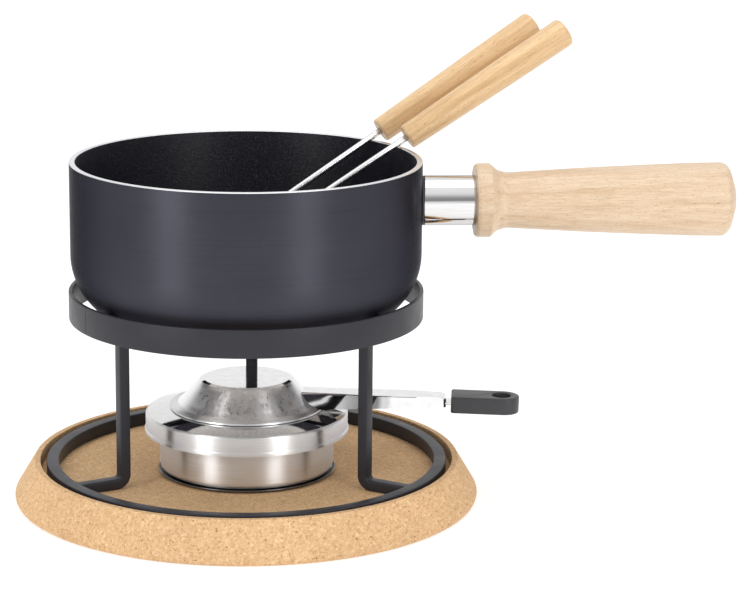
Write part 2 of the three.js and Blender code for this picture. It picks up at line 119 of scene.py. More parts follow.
def turned(name, profile, segments=ROUND, closed=False, slots=None, matrix=None):
    """Turns a profile of (radius, height) points about Z. slots gives the material index of a
    face from the middle of its profile edge."""
    bm = bmesh.new()
    rings = []
    for x, y in profile:
        if x < 1e-9:
            rings.append([bm.verts.new((0, 0, y))])
            continue
        ring = []
        for i in range(segments):
            angle = 2 * math.pi * i / segments
            ring.append(bm.verts.new((x * math.cos(angle), x * math.sin(angle), y)))
        rings.append(ring)
    pairs = list(zip(rings, rings[1:])) + ([(rings[-1], rings[0])] if closed else [])
    ends = list(zip(profile, profile[1:])) + ([(profile[-1], profile[0])] if closed else [])
    for (a, b), (p, q) in zip(pairs, ends):
        index = slots((p[0] + q[0]) / 2, (p[1] + q[1]) / 2) if slots else 0
        for i in range(segments):
            j = (i + 1) % segments
            corners = [a[i % len(a)], a[j % len(a)], b[j % len(b)], b[i % len(b)]]
            unique = list(dict.fromkeys(corners))
            if len(unique) > 2:
                bm.faces.new(unique).material_index = index
    piece = finished(name, bm)
    if matrix:
        piece.matrix_world = matrix
    return piece


def rounded_section(width, thickness, corner, steps=4):
    """A rounded rectangle about the origin, as (across, through) points."""
    made = []
    for sx, sy, start in ((1, 1, 0), (-1, 1, 90), (-1, -1, 180), (1, -1, 270)):
        cx, cy = sx * (width / 2 - corner), sy * (thickness / 2 - corner)
        for step in range(steps + 1):
            angle = math.radians(start + 90 * step / steps)
            made.append((cx + corner * math.cos(angle), cy + corner * math.sin(angle)))
    return made


def swept(bm, path, section):
    """Sweeps a section along a path in the XZ plane and caps its ends."""
    rings = []
    for i, point in enumerate(path):
        ahead = path[min(i + 1, len(path) - 1)] - path[max(i - 1, 0)]
        ahead.normalize()
        through = Vector((-ahead.y, ahead.x))
        ring = []
        for across, depth in section:
            spot = point + through * depth
            ring.append(bm.verts.new((spot.x, across, spot.y)))
        rings.append(ring)
    for a, b in zip(rings, rings[1:]):
        for i in range(len(section)):
            j = (i + 1) % len(section)
            bm.faces.new((a[i], a[j], b[j], b[i]))
    bm.faces.new(rings[0])
    bm.faces.new(list(reversed(rings[-1])))


def extruded(bm, outline, bottom, top):
    lower = [bm.verts.new((x, y, bottom)) for x, y in outline]
    upper = [bm.verts.new((x, y, top)) for x, y in outline]
    bm.faces.new(list(reversed(lower)))
    bm.faces.new(upper)
    for i in range(len(outline)):
        j = (i + 1) % len(outline)
        bm.faces.new((lower[i], lower[j], upper[j], upper[i]))


def softened(piece, width, segments=3, angle=35):
    """Rounds a piece's edges and keeps the result in its mesh."""
    bevel = piece.modifiers.new("edges", "BEVEL")
    bevel.width = width
    bevel.segments = segments
    bevel.limit_method = "ANGLE"
    bevel.angle_limit = math.radians(angle)
    bevel.harden_normals = False
    graph = bpy.context.evaluated_depsgraph_get()
    mesh = bpy.data.meshes.new_from_object(piece.evaluated_get(graph))
    piece.modifiers.clear()
    piece.data = mesh
    for face in mesh.polygons:
        face.use_smooth = True
    mesh.set_sharp_from_angle(angle=math.radians(40))
    return piece


def along_x(height):
    """Takes a piece turned about Z to the handle's axis."""
    return Matrix.Translation((0, 0, height)) @ Matrix.Rotation(math.radians(90), 4, "Y")


# ---------------------------------------------------------------- materials


def fill_ramp(elements, stops):
    """Sets a color ramp's stops, each made at its own place so that none is left over."""
    while len(elements) > 1:
        elements.remove(elements[-1])
    elements[0].position = stops[0][0]
    elements[0].color = (*stops[0][1], 1)
    for position, color in stops[1:]:
        elements.new(position).color = (*color, 1)


NOISE_ROUGHNESS = 0.55


class Nodes:
    """Short names for building a node tree."""

    def __init__(self, name, roughness=0.5, metallic=0.0, color=(0.8, 0.8, 0.8)):
        self.material = bpy.data.materials.new(name)
        self.material.use_nodes = True
        self.tree = self.material.node_tree
        self.shader = self.tree.nodes["Principled BSDF"]
        self.set("Roughness", roughness)
        self.set("Metallic", metallic)
        self.set("Base Color", (*color, 1))
        self.object = self.node("ShaderNodeTexCoord").outputs["Object"]

    def node(self, kind, **settings):
        made = self.tree.nodes.new(kind)
        for key, value in settings.items():
            setattr(made, key, value)
        return made

    def set(self, socket, value):
        self.shader.inputs[socket].default_value = value

    def link(self, source, target):
        self.tree.links.new(source, target)

    def stretched(self, scale, rotation=(0, 0, 0)):
        made = self.node("ShaderNodeMapping")
        made.inputs["Scale"].default_value = scale
        made.inputs["Rotation"].default_value = rotation
        self.link(self.object, made.inputs["Vector"])
        return made.outputs["Vector"]

    def noise(self, vector, scale, detail=4.0, distortion=0.0):
        made = self.node("ShaderNodeTexNoise")
        made.inputs["Scale"].default_value = scale
        made.inputs["Detail"].default_value = detail
        made.inputs["Roughness"].default_value = NOISE_ROUGHNESS
        made.inputs["Distortion"].default_value = distortion
        self.link(vector, made.inputs["Vector"])
        return made.outputs["Fac"]

    def cells(self, vector, scale):
        made = self.node("ShaderNodeTexVoronoi")
        made.inputs["Scale"].default_value = scale
        self.link(vector, made.inputs["Vector"])
        return made

    def ramp(self, source, stops):
        made = self.node("ShaderNodeValToRGB")
        fill_ramp(made.color_ramp.elements, stops)
        self.link(source, made.inputs["Fac"])
        return made.outputs["Color"]

    def span(self, source, low, high, to_low, to_high):
        made = self.node("ShaderNodeMapRange")
        values = {"From Min": low, "From Max": high, "To Min": to_low, "To Max": to_high}
        for key, value in values.items():
            made.inputs[key].default_value = value
        self.link(source, made.inputs["Value"])
        return made.outputs["Result"]

    def mixed(self, factor, a, b, blend="MIX"):
        made = self.node("ShaderNodeMix", data_type="RGBA", blend_type=blend)
        for value, index in ((factor, 0), (a, 6), (b, 7)):
            if isinstance(value, (int, float)):
                made.inputs[index].default_value = value
            elif isinstance(value, tuple):
                made.inputs[index].default_value = (*value, 1)
            else:
                self.link(value, made.inputs[index])
        return made.outputs[2]

    def bump(self, source, strength, distance, after=None):
        made = self.node("ShaderNodeBump")
        made.inputs["Strength"].default_value = strength
        made.inputs["Distance"].default_value = distance
        self.link(source, made.inputs["Height"])
        if after:
            self.link(after, made.inputs["Normal"])
        return made.outputs["Normal"]

    def finish(self, color=None, roughness=None, normal=None):
        targets = (("Base Color", color), ("Roughness", roughness), ("Normal", normal))
        for socket, source in targets:
            if source:
                self.link(source, self.shader.inputs[socket])
        return self.material


def cork():
    """Pressed granulate: small grains of mixed tones with a few darker bark flecks."""
    n = Nodes("cork", roughness=0.9)
    coarse = n.cells(n.object, 680)
    fine = n.cells(n.object, 1450)
    tones = [
        (0.0, (0.38, 0.20, 0.088)),
        (0.14, (0.54, 0.32, 0.155)),
        (0.45, (0.66, 0.42, 0.22)),
        (0.75, (0.75, 0.50, 0.275)),
        (1.0, (0.90, 0.67, 0.42)),
    ]
    large = n.ramp(coarse.outputs["Color"], tones)
    small = n.ramp(fine.outputs["Color"], tones)
    body = n.mixed(0.5, large, small)
    fleck = n.ramp(
        n.noise(n.object, 760, detail=2),
        [(0.0, (0.34, 0.18, 0.09)), (0.29, (0.44, 0.26, 0.14)), (0.36, (1, 1, 1)), (1.0, (1, 1, 1))],
    )
    shade = n.mixed(0.92, body, fleck, "MULTIPLY")
    drift = n.ramp(n.noise(n.object, 16), [(0.3, (0.94, 0.93, 0.91)), (0.7, (1.06, 1.05, 1.03))])
    color = n.mixed(1.0, shade, drift, "MULTIPLY")
    pits = n.bump(coarse.outputs["Distance"], 0.35, 0.0005)
    grain = n.bump(n.noise(n.object, 1500), 0.25, 0.0003, pits)
    return n.finish(color, n.span(n.noise(n.object, 300), 0.3, 0.7, 0.8, 0.97), grain)


def powder_coat(name, color, roughness):
    n = Nodes(name, roughness=roughness, color=color)
    n.set("Specular IOR Level", 0.32)
    peel = n.bump(n.noise(n.object, 1400, detail=3), 0.16, 0.0002)
    soft = n.noise(n.object, 60)
    light = tuple(c * 1.18 for c in color)
    tone = n.ramp(soft, [(0.3, color), (0.7, light)])
    return n.finish(tone, n.span(soft, 0.3, 0.7, roughness - 0.05, roughness + 0.07), peel)


def spread_across_lines(n, amount):
    """Turned surfaces: lines run round the piece's Z, so glints spread along it."""
    n.set("Anisotropic", amount)
    n.set("Anisotropic Rotation", 0.25)
    tangent = n.node("ShaderNodeTangent", direction_type="RADIAL", axis="Z")
    n.link(tangent.outputs["Tangent"], n.shader.inputs["Tangent"])


def pot_outside():
    """Black satin coat over a turned wall: faint level tool lines and tall soft glints. It is
    set as a dark metal, whose edges stay dark where the wall turns away."""
    n = Nodes("pot_outside", roughness=0.42, metallic=0.85)
    n.set("Specular IOR Level", 0.4)
    n.set("Specular Tint", (0.24, 0.24, 0.26, 1))
    spread_across_lines(n, 0.8)
    lines = n.noise(n.stretched((6, 6, 2600)), 1.0, detail=3)
    patches = n.noise(n.object, 26)
    tone = n.ramp(patches, [(0.3, (0.053, 0.053, 0.066)), (0.7, (0.060, 0.060, 0.075))])
    streak = n.ramp(lines, [(0.35, (0.93, 0.93, 0.94)), (0.65, (1.07, 1.07, 1.07))])
    color = n.mixed(1.0, tone, streak, "MULTIPLY")
    turned_lines = n.bump(lines, 0.12, 0.00012)
    grit = n.bump(n.noise(n.object, 2200, detail=2), 0.1, 0.00012, turned_lines)
    return n.finish(color, n.span(lines, 0.3, 0.7, 0.38, 0.48), grit)


def pot_inside():
    """Sprayed non-stick coat: darker and bluer, with a fine speckled orange peel."""
    n = Nodes("pot_inside", roughness=0.4)
    n.set("Specular IOR Level", 0.4)
    spread_across_lines(n, 0.5)
    speck = n.noise(n.object, 1300, detail=2)
    tone = n.ramp(
        speck,
        [(0.0, (0.004, 0.004, 0.007)), (0.56, (0.008, 0.008, 0.013)), (0.72, (0.050, 0.050, 0.068))],
    )
    peel = n.bump(n.noise(n.object, 520, detail=3), 0.4, 0.0004)
    return n.finish(tone, n.span(speck, 0.3, 0.7, 0.34, 0.5), peel)


def brushed(name, color, roughness, scale, strength=0.08, spread=0.0, edge=1.0):
    """Metal with fine lines; scale is small along the lines and large across them. Edge is
    how bright it is where it turns away, against face on."""
    n = Nodes(name, roughness=roughness, metallic=1.0, color=color)
    n.set("Specular Tint", (edge, edge, edge, 1))
    if spread:
        spread_across_lines(n, spread)
    lines = n.noise(n.stretched(scale), 1.0, detail=4)
    dark = tuple(c * 0.88 for c in color)
    tone = n.ramp(lines, [(0.3, dark), (0.7, color)])
    normal = n.bump(lines, strength, 0.00008)
    return n.finish(tone, n.span(lines, 0.3, 0.7, roughness * 0.75, roughness * 1.3), normal)


def beech(name, light, mid, dark):
    """Turned beech, its grain along the piece's own Z: fine fibres, short darker rays and a
    thin satin lacquer over slight tool marks."""
    n = Nodes(name, roughness=0.42)
    bands = n.noise(n.stretched((230, 230, 8)), 1.0, detail=3, distortion=0.3)
    fibres = n.noise(n.stretched((1600, 1600, 90)), 1.0, detail=3)
    flecks = n.noise(n.stretched((1500, 1500, 420)), 1.0, detail=1)
    body = n.ramp(bands, [(0.28, dark), (0.48, mid), (0.72, light)])
    fine = n.ramp(fibres, [(0.3, (0.87, 0.82, 0.76)), (0.62, (1.04, 1.04, 1.03))])
    ray = n.ramp(flecks, [(0.0, (0.62, 0.46, 0.33)), (0.30, (0.80, 0.68, 0.56)), (0.37, (1, 1, 1))])
    color = n.mixed(0.85, n.mixed(1.0, body, fine, "MULTIPLY"), ray, "MULTIPLY")
    wavy = n.bump(n.noise(n.stretched((30, 30, 60)), 1.0, detail=1), 0.2, 0.0008)
    pores = n.bump(fibres, 0.14, 0.00015, wavy)
    n.set("Coat Weight", 0.2)
    n.set("Coat Roughness", 0.28)
    return n.finish(color, n.span(bands, 0.3, 0.7, 0.38, 0.52), pores)


def plastic(name, color):
    n = Nodes(name, roughness=0.42, color=color)
    n.set("Specular IOR Level", 0.5)
    fine = n.noise(n.object, 2600, detail=2)
    tone = n.ramp(n.noise(n.object, 120), [(0.3, color), (0.7, tuple(c * 1.15 for c in color))])
    return n.finish(tone, n.span(fine, 0.3, 0.7, 0.36, 0.5), n.bump(fine, 0.2, 0.0002))


looks = {
    "cork": cork(),
    "stand": powder_coat("stand_coat", (0.020, 0.020, 0.026), 0.4),
    "pot_outside": pot_outside(),
    "pot_inside": pot_inside(),
    "rim": brushed("turned_rim", (0.80, 0.80, 0.82), 0.34, (900, 900, 900), 0.04),
    "polished": brushed("polished_steel", (0.80, 0.79, 0.79), 0.09, (900, 900, 40), 0.02, edge=0.6),
    # The tray's steel is darkened to paint in the shade of the gap under the burner cup.
    "tray": brushed("tray_steel_painted_shade", (0.16, 0.155, 0.16), 0.16, (300, 300, 300), 0.02),
    "stem": brushed("fork_steel", (0.76, 0.75, 0.76), 0.3, (900, 900, 60), 0.01, edge=0.35),
    "sheet": brushed("burner_sheet", (0.93, 0.92, 0.92), 0.4, (40, 40, 2400), 0.06, 0.9, 0.8),
    "cone": brushed("lid_cone", (0.97, 0.96, 0.965), 0.32, (500, 500, 60), 0.012, 0.88),
    "mirror": brushed("pressed_sheet", (0.83, 0.825, 0.825), 0.055, (220, 220, 220), 0.01),
    "cover_top": brushed("pressed_cover", (0.76, 0.755, 0.755), 0.06, (220, 220, 220), 0.01),
    "plate": brushed("plate_steel", (0.86, 0.845, 0.84), 0.6, (300, 300, 300)),
    "aluminium": brushed("plain_aluminium", (0.98, 0.975, 0.975), 0.4, (400, 400, 400)),
    "brass": brushed("plain_brass", (0.68, 0.52, 0.25), 0.3, (400, 400, 400)),
    "beech": beech("beech", (0.72, 0.565, 0.41), (0.67, 0.505, 0.35), (0.585, 0.415, 0.262)),
    "fork_beech": beech("fork_beech", (0.79, 0.57, 0.325), (0.71, 0.48, 0.255), (0.57, 0.36, 0.17)),
    "plastic": plastic("black_plastic", (0.030, 0.030, 0.034)),
}


def placed(piece, body, slot, look, *nodes):
    """Gives a piece its looks and its body, and hides the CAD nodes it stands for. slot is not used.
    """
    names = look if isinstance(look, tuple) else (look,)
    for name in names:
        piece.data.materials.append(looks[name])
    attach(piece, body)
    if nodes:
        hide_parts(*nodes)


# ---------------------------------------------------------------- cork base

CORK_RECESS = 119.5 * MM


def cork_base():
    low, high = heights("cork_base")
    _, foot = radii("cork_base")
    lip = 122.8 * MM
    floor = 14.6 * MM
    profile = filleted(
        [
            (0, low),
            (foot - 1.2 * MM, low, 2.4 * MM),
            (foot, low + 3.2 * MM, 3 * MM),
            (lip, high, 0.5 * MM),
            (CORK_RECESS, high, 0.35 * MM),
            (CORK_RECESS, floor, 0.6 * MM),
            (0, floor),
        ]
    )
    placed(turned("cork_slab", profile), "base", "cork", "cork", "cork_base")


# ---------------------------------------------------------------- stand

STAND_TURN = math.radians(-3.4)
BAR_WIDTH = 7 * MM
BAR_THICKNESS = 6 * MM
BAR_RADIUS = 79 * MM
ARM_BEND = 8 * MM
FOOT_BEND = 2 * MM
BAR_OVERLAP = 0.5 * MM  # how far a bar's ends reach into the rings
WELD_SIZE = 1.3 * MM
WELD_SUNK = 0.4 * MM


def hoop(name, node, corner):
    inner, outer = radii(node)
    low, high = heights(node)
    corners = [(inner, low), (outer, low), (outer, high), (inner, high)]
    loop = []
    for i, point in enumerate(corners):
        around = [corners[i - 1], (*point, corner), corners[(i + 1) % 4]]
        loop += filleted(around)[1:-1]
    placed(turned(name, loop, closed=True), "stand", "stand_black", "stand", node)


def leg(name, node, angle):
    ring_inner, _ = radii("top_ring")
    foot_inner, _ = radii("base_ring")
    low, high = heights(node)
    half = BAR_THICKNESS / 2
    path = filleted(
        [
            (ring_inner + BAR_OVERLAP, high - half),
            (BAR_RADIUS, high - half, ARM_BEND + half),
            (BAR_RADIUS, low + half, FOOT_BEND + half),
            (foot_inner + BAR_OVERLAP, low + half),
        ],
        steps=12,
    )
    bm = bmesh.new()
    swept(bm, path, rounded_section(BAR_WIDTH, BAR_THICKNESS, 0.8 * MM))
    bm.transform(Matrix.Rotation(angle + STAND_TURN, 4, "Z"))
    placed(finished(name, bm), "stand", "stand_black", "stand", node)


def weld(name, radius, height, angle, turn=0):
    """A small irregular bead where a bar meets a ring."""
    rng = random.Random(SEED + int(math.degrees(angle)) + turn)
    bm = bmesh.new()
    bmesh.ops.create_icosphere(bm, subdivisions=3, radius=1)
    for vertex in bm.verts:
        swell = 1 + rng.uniform(-0.05, 0.05)
        vertex.co = Vector(
            (vertex.co.x * WELD_SIZE, vertex.co.y * BAR_WIDTH * 0.48, vertex.co.z * WELD_SIZE)
        ) * swell
    bm.transform(Matrix.Translation((radius, 0, height)))
    bm.transform(Matrix.Rotation(angle + STAND_TURN, 4, "Z"))
    placed(finished(name, bm, 80), "stand", "stand_black", "stand")


SEAM_ANGLE = math.radians(207)
SEAM_WIDTH = 0.9 * MM
SEAM_MARGIN = 0.6 * MM  # it stops short of the band's edges
SEAM_CORNER = 0.3 * MM
SEAM_DEPTH = 0.3 * MM
SEAM_PROUD = 0.07 * MM


def seam():
    """The top ring's butt weld, ground nearly flush: a faint upright line."""
    _, outer = radii("top_ring")
    low, high = heights("top_ring")
    section = rounded_section(SEAM_WIDTH, high - low - 2 * SEAM_MARGIN, SEAM_CORNER)
    bm = bmesh.new()
    extruded(bm, section, outer - SEAM_DEPTH, outer + SEAM_PROUD)
    bm.transform(Matrix.Rotation(math.radians(90), 4, "Z") @ Matrix.Rotation(math.radians(90), 4, "X"))
    bm.transform(Matrix.Translation((0, 0, (low + high) / 2)) @ Matrix.Rotation(SEAM_ANGLE, 4, "Z"))
    placed(finished("ring_seam", bm), "stand", "stand_black", "stand")


def stand():
    hoop("band_hoop", "top_ring", 0.45 * MM)
    hoop("foot_hoop", "base_ring", 0.7 * MM)
    seam()
    ring_inner, _ = radii("top_ring")
    foot_inner, _ = radii("base_ring")
    for name, node, degrees in (
        ("bar_back", "leg_back", 90),
        ("bar_left", "leg_left", 210),
        ("bar_right", "leg_right", 330),
    ):
        angle = math.radians(degrees)
        low, high = heights(node)
        leg(name, node, angle)
        weld(name + "_arm_weld", ring_inner - WELD_SUNK, high, angle)
        weld(name + "_foot_weld", foot_inner - WELD_SUNK, low + BAR_THICKNESS, angle, 1)


# ---------------------------------------------------------------- pot

POT_WALL = 3.4 * MM
POT_FLOOR = 4.5 * MM
POT_CORNER = 40 * MM
RIM_ROUND = 0.7 * MM
RIM_TURNED = 0.4 * MM  # how far the bare turned edge reaches down the wall
PLATE_RADIUS = 52 * MM
PLATE_RECESS = 1.3 * MM
PLATE_GAP = 0.3 * MM


def pot_bowl():
    low, high = heights("pot_bowl")
    _, outer = radii("pot_bowl")
    inner = outer - POT_WALL
    recess = low + PLATE_RECESS
    plate_edge = PLATE_RADIUS + PLATE_GAP
    profile = filleted(
        [
            (0, recess),
            (plate_edge, recess),
            (plate_edge, low),
            (outer, low, POT_CORNER),
            (outer, high, RIM_ROUND),
            (inner, high, RIM_ROUND),
            (inner, low + POT_FLOOR, POT_CORNER - POT_WALL),
            (0, low + POT_FLOOR),
        ],
        steps=24,
    )

    def slots(radius, height):
        if height > high - RIM_TURNED:
            return 2
        spot = Vector((radius, height)) - Vector((outer - POT_CORNER, low + POT_CORNER))
        middle = POT_CORNER - POT_WALL / 2
        if spot.y >= 0:
            inside = spot.x < middle
        elif spot.x <= 0:
            inside = height > low + POT_FLOOR - 0.5 * MM
        else:
            inside = spot.length < middle
        return 1 if inside else 0

    piece = turned("pot_shell", profile, slots=slots)
    looked = ("pot_outside", "pot_inside", "rim")
    placed(piece, "pot", "pot_coating", looked, "pot_bowl")


DOT_RADIUS = 1.5 * MM
DOT_PITCH = 5.2 * MM
DOT_RINGS = 9
DOT_DEPTH = 0.3 * MM
DOT_PROUD = 0.02 * MM


def induction_plate():
    """Steel plate with rings of small filled holes."""
    low, high = heights("induction_plate")
    profile = filleted([(0, low), (PLATE_RADIUS, low, 0.3 * MM), (PLATE_RADIUS, high), (0, high)])
    placed(turned("base_plate", profile), "pot", "plate_steel", "plate", "induction_plate")
    bm = bmesh.new()
    height = low + DOT_DEPTH / 2 - DOT_PROUD
    for ring in range(1, DOT_RINGS + 1):
        radius = ring * DOT_PITCH
        count = 6 * ring
        for i in range(count):
            angle = 2 * math.pi * (i + 0.5 * (ring % 2)) / count
            middle = Vector((radius * math.cos(angle), radius * math.sin(angle), height))
            made = bmesh.ops.create_cone(
                bm, cap_ends=True, segments=16, radius1=DOT_RADIUS, radius2=DOT_RADIUS, depth=DOT_DEPTH
            )
            bmesh.ops.translate(bm, verts=made["verts"], vec=middle)
    placed(finished("plate_dots", bm), "pot", "bare_aluminium", "aluminium")


def pot_handle():
    grip_low, grip_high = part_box("handle_grip")
    axis = (grip_low.z + grip_high.z) / 2
    turn = along_x(axis)
    _, collar = radii("handle_grip", axis)
    start, end = grip_low.x, grip_high.x
    neck = 15.9 * MM
    profile = filleted(
        [
            (0, start),
            (20.6 * MM, start, 0.9 * MM),
            (21.2 * MM, start + 2.0 * MM, 1.2 * MM),
            (21.2 * MM, start + 8.7 * MM, 0.8 * MM),
            (17.4 * MM, start + 12.8 * MM, 5 * MM),
            (neck, start + 18 * MM, 8 * MM),
            (neck + 0.9 * MM, start + 34 * MM, 30 * MM),
            (neck + 2.5 * MM, start + 62 * MM),
            (neck + 4.1 * MM, start + 98 * MM),
            (collar - 0.3 * MM, start + 124 * MM, 20 * MM),
            (collar, end - 4.8 * MM, 6 * MM),
            (9 * MM, end - 0.5 * MM, 6 * MM),
            (0, end),
        ],
        steps=8,
    )
    grip = turned("turned_handle", profile, SLIM * 2, matrix=turn)
    placed(grip, "pot", "handle_beech", "beech", "handle_grip")
    polished_sleeve(axis, turn)


WASHER_FACE = 101.55 * MM  # distance of the washer's outer face from the pot's axis
SLEEVE_WALL = 1.0 * MM
SLEEVE_TUCK = 0.3 * MM  # how far it goes into the wood


def polished_sleeve(axis, turn):
    """Sleeve over the handle's boss, its inner end curved to follow the pot's wall."""
    _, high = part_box("handle_ferrule")
    _, outer = radii("handle_ferrule", axis)
    inner = outer - SLEEVE_WALL
    end = high.x + SLEEVE_TUCK
    middle = (WASHER_FACE + end) / 2
    corner = 0.3 * MM
    points = [
        (inner, WASHER_FACE),
        (outer, WASHER_FACE, corner),
        (outer, middle),
        (outer, end, corner),
        (inner, end),
    ]
    tube = turned("polished_sleeve", filleted(points), SLIM * 2, closed=True, matrix=turn)
    for vertex in tube.data.vertices:
        if vertex.co.z < middle - 1 * MM:
            vertex.co.z += math.sqrt(WASHER_FACE**2 - vertex.co.y**2) - WASHER_FACE
    placed(tube, "pot", "polished_steel", "polished", "handle_ferrule")


# ---------------------------------------------------------------- forks

FORK_ELEVATION = math.radians(32)
FORKS = (
    ("fork_1", 22.5, 11.0, 0.0),
    ("fork_2", 38.5, 14.5, 0.6),
)
FORK_ORIGIN_RADIUS = 96.9 * MM
STEM_RADIUS = 1.9 * MM
GRIP_START = 5.9 * MM
GRIP_LENGTH = 114 * MM
GRIP_BORE = 12 * MM
BORE_GAP = 0.15 * MM
STEM_IN_GRIP = 11 * MM
STEM_IN_HEAD = 5 * MM
HEAD_LENGTH = 30 * MM
HEAD_HALF = 0.9 * MM  # half the head's thickness
RIM_GAP = 0.3 * MM
TIP_GAP = 1.6 * MM  # between the tines and the pot's floor


def fork_matrix(rim_degrees, heading_degrees):
    """Takes +Z up the stem from the pot's rim. The origin's height comes from the rim."""
    _, rim = heights("pot_bowl")
    height = rim + (STEM_RADIUS + RIM_GAP) / math.cos(FORK_ELEVATION)
    angle = math.radians(rim_degrees)
    origin = Matrix.Translation(
        (FORK_ORIGIN_RADIUS * math.cos(angle), FORK_ORIGIN_RADIUS * math.sin(angle), height)
    )
    heading = Matrix.Rotation(math.radians(heading_degrees), 4, "Z")
    lean = Matrix.Rotation(math.pi / 2 - FORK_ELEVATION, 4, "Y")
    return origin @ heading @ lean, height


def fork_head(bm, reach):
    half = 5.5 * MM
    neck = 1.3 * MM
    tine = 2 * MM
    step = (2 * half - 3 * tine) / 2 + tine
    root = 20 * MM
    point = 4 * MM
    outline = [(-neck, HEAD_LENGTH), (-half, root + 2 * MM)]
    for side in (-1, 0, 1):
        middle = side * step
        outline += [
            (middle - tine / 2, root if side == -1 else root - 1 * MM),
            (middle - tine / 2, point),
            (middle, 0),
            (middle + tine / 2, point),
            (middle + tine / 2, root if side == 1 else root - 1 * MM),
        ]
    outline += [(half, root + 2 * MM), (neck, HEAD_LENGTH)]
    part = bmesh.new()
    extruded(part, outline, -HEAD_HALF, HEAD_HALF)
    part.transform(Matrix.Rotation(math.radians(90), 4, "X"))
    part.transform(Matrix.Rotation(math.radians(90), 4, "Z"))
    part.transform(Matrix.Translation((0, 0, -reach)))
    mesh = bpy.data.meshes.new("head")
    part.to_mesh(mesh)
    part.free()
    bm.from_mesh(mesh)
    bpy.data.meshes.remove(mesh)


def fork(name, rim_degrees, heading_degrees, spin):
    place, height = fork_matrix(rim_degrees, heading_degrees)
    low, _ = heights("pot_bowl")
    floor = low + POT_FLOOR
    reach = (height - floor - TIP_GAP) / math.sin(FORK_ELEVATION)
    grip = filleted(
        [
            (STEM_RADIUS + BORE_GAP, GRIP_START + GRIP_BORE),
            (STEM_RADIUS + BORE_GAP, GRIP_START, 0.2 * MM),
            (6.9 * MM, GRIP_START, 0.5 * MM),
            (7.35 * MM, GRIP_START + 1.2 * MM, 1 * MM),
            (8.4 * MM, GRIP_START + 70 * MM, 60 * MM),
            (8.7 * MM, GRIP_START + GRIP_LENGTH - 0.7 * MM, 3 * MM),
            (0, GRIP_START + GRIP_LENGTH),
        ],
        steps=9,
    )
    turn = place @ Matrix.Rotation(spin, 4, "Z")
    wood = turned(name + "_wood", grip, SLIM, matrix=turn)
    placed(wood, name, "fork_beech", "fork_beech", name + "_handle")
    bm = bmesh.new()
    stem_low = HEAD_LENGTH - STEM_IN_HEAD - reach
    stem_high = GRIP_START + STEM_IN_GRIP
    bmesh.ops.create_cone(
        bm, cap_ends=True, segments=32, radius1=STEM_RADIUS, radius2=STEM_RADIUS,
        depth=stem_high - stem_low,
    )
    bmesh.ops.translate(bm, verts=bm.verts, vec=(0, 0, (stem_high + stem_low) / 2))
    fork_head(bm, reach)
    bm.transform(place)
    stem = softened(finished(name + "_steel", bm), 0.25 * MM, 2)
    placed(stem, name, "polished_steel", "stem", name + "_shaft")


# ---------------------------------------------------------------- burner

SHEET = 1.0 * MM


def burner_cup():
    low, high = heights("burner_cup")
    _, outer = radii("burner_cup")
    profile = filleted(
        [
            (0, low),
            (outer, low, 4 * MM),
            (outer, high, 0.3 * MM),
            (outer - SHEET, high, 0.3 * MM),
            (outer - SHEET, low + SHEET, 3 * MM),
            (0, low + SHEET),
        ],
        steps=8,
    )
    placed(turned("cup_shell", profile), "burner", "burner_steel", "sheet", "burner_cup")


def burner_tray():
    low, high = heights("burner_tray")
    _, outer = radii("burner_tray")
    profile = filleted(
        [
            (0, low),
            (outer - 1.6 * MM, low, 0.6 * MM),
            (outer, high - 0.4 * MM, 0.4 * MM),
            (outer - 0.7 * MM, high, 0.2 * MM),
            (outer - 1.9 * MM, low + 0.9 * MM, 0.5 * MM),
            (0, low + 0.9 * MM),
        ]
    )
    # Its darkened steel look is painted shade for the gap under the cup.
    placed(turned("tray_shell", profile), "tray", "polished_steel", "tray", "burner_tray")


COVER_SLOPE = 0.18
COVER_BEAD = 0.5 * MM
COVER_EDGE_RISE = 11.1 * MM
COVER_COLLAR = 49.1 * MM
COVER_COLLAR_FOOT = 43 * MM
FLAME_RADIUS = 36 * MM


def burner_cover():
    low, _ = heights("burner_cover")
    _, bead = radii("burner_cover")
    edge = bead - COVER_BEAD
    collar = COVER_COLLAR

    def top(radius):
        return low + COVER_EDGE_RISE + (edge - radius) * COVER_SLOPE

    profile = filleted(
        [
            (bead, low + 0.9 * MM),
            (bead, low + 1.5 * MM, 0.4 * MM),
            (edge, low + 2.3 * MM, 0.4 * MM),
            (edge, top(edge), 1.6 * MM),
            (FLAME_RADIUS, top(FLAME_RADIUS), 0.3 * MM),
            (FLAME_RADIUS, top(FLAME_RADIUS) - SHEET, 0.3 * MM),
            (collar - SHEET, top(collar) - SHEET),
            (collar - SHEET, COVER_COLLAR_FOOT),
            (collar, COVER_COLLAR_FOOT),
            (collar, top(collar) - SHEET),
            (edge - SHEET, top(edge) - SHEET, 0.6 * MM),
            (edge - SHEET, low, 0.3 * MM),
            (bead, low, 0.5 * MM),
        ]
    )

    def slots(radius, height):
        return 1 if radius < edge - 1.2 * MM and height > top(radius) - 0.4 * MM else 0

    piece = turned("cover_shell", profile, closed=True, slots=slots)
    placed(piece, "cover", "burner_steel", ("sheet", "cover_top"), "burner_cover")


FUEL_FLANGE = 2.5 * MM


def fuel_insert():
    low, high = heights("fuel_insert")
    _, flange = radii("fuel_insert")
    wall = flange - FUEL_FLANGE
    profile = filleted(
        [
            (0, low),
            (wall, low, 2 * MM),
            (wall, high - SHEET),
            (flange, high - SHEET),
            (flange, high, 0.3 * MM),
            (wall - SHEET, high, 0.3 * MM),
            (wall - SHEET, low + SHEET, 1.4 * MM),
            (0, low + SHEET),
        ]
    )
    piece = turned("fuel_dish", profile)
    placed(piece, "burner", "bare_aluminium", "aluminium", "fuel_insert")


